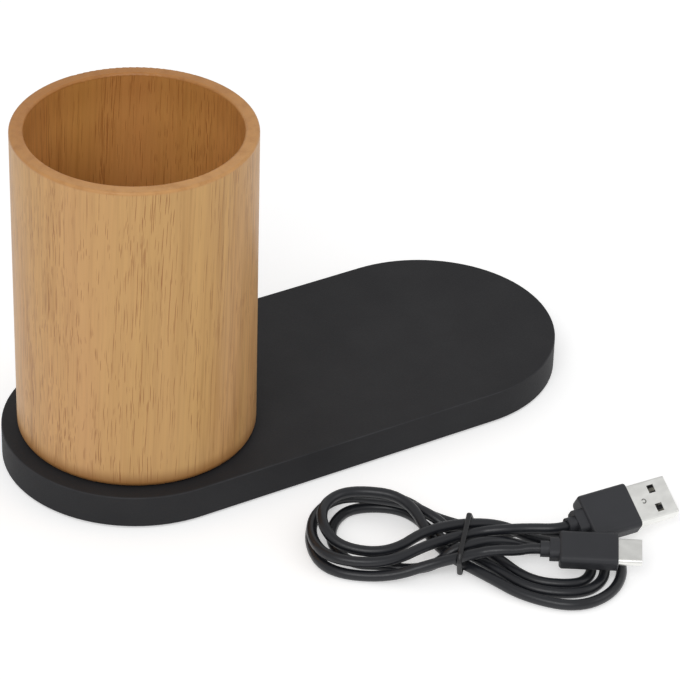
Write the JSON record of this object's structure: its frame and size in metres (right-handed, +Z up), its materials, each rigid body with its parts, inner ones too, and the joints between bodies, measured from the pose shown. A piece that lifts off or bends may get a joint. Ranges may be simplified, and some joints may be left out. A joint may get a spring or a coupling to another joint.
{
  "type": "wireless charger pen holder",
  "caption": "Turned wooden pen cup on a flat slab with round ends, with a charging area beside it and a loose cable tied in a hank.",
  "frame": {"origin": "on the desk surface, below the middle of the slab, without the loose cable", "axes": "+X along the slab from the cup to the charging area, +Y from the front to the inlet side, +Z up"},
  "size_m": [0.179, 0.169, 0.1092],
  "materials": {
    "cup_wood": "turned hardwood, satin lacquer",
    "housing_plastic": "fine matte texture",
    "cover_plastic": "moulded, matte",
    "foot_rubber": "soft, matte",
    "screw_steel": "zinc plated",
    "coil_copper": "enamelled copper wire",
    "ferrite": "sintered, matte",
    "foam": "closed-cell foam",
    "board_laminate": "solder mask on laminate",
    "component_plastic": "moulded package",
    "capacitor_ceramic": "ceramic",
    "capacitor_can": "drawn can",
    "shell_steel": "satin nickel plate",
    "insert_plastic": "moulded",
    "cord_jacket": "satin soft jacket",
    "tie_rubber": "thin band",
    "plug_plastic": "overmoulded, satin",
    "contact_gold": "gold plate"
  },
  "bodies": {
    "charger": {"wooden_cup": "cup_wood", "top_housing": "housing_plastic", "bottom_cover": "cover_plastic", "rubber_feet": "foot_rubber", "cover_screws": "screw_steel", "cup_screws": "screw_steel", "board_screws": "screw_steel", "transmit_coil": "coil_copper", "coil_leads": "coil_copper", "ferrite_shield": "ferrite", "foam_pad": "foam", "circuit_board": "board_laminate", "controller_chip": "component_plastic", "bridge_transistors": "component_plastic", "resonant_capacitors": "capacitor_ceramic", "input_capacitors": "capacitor_can", "usb_c_socket": "shell_steel", "socket_tongue": "insert_plastic"},
    "cable": {"cable_hank": "cord_jacket", "cable_tie": "tie_rubber", "usb_a_plug_body": "plug_plastic", "usb_a_shell": "shell_steel", "usb_a_tongue": "insert_plastic", "usb_a_contacts": "contact_gold", "usb_c_plug_body": "plug_plastic", "usb_c_plug_shell": "shell_steel", "usb_c_plug_insert": "insert_plastic"}
  },
  "joints": [
    {"name": "cable_lift", "type": "slide", "parent": "charger", "child": "cable", "axis": [0, 0, 1], "range_m": [0, 0.12]}
  ]
}
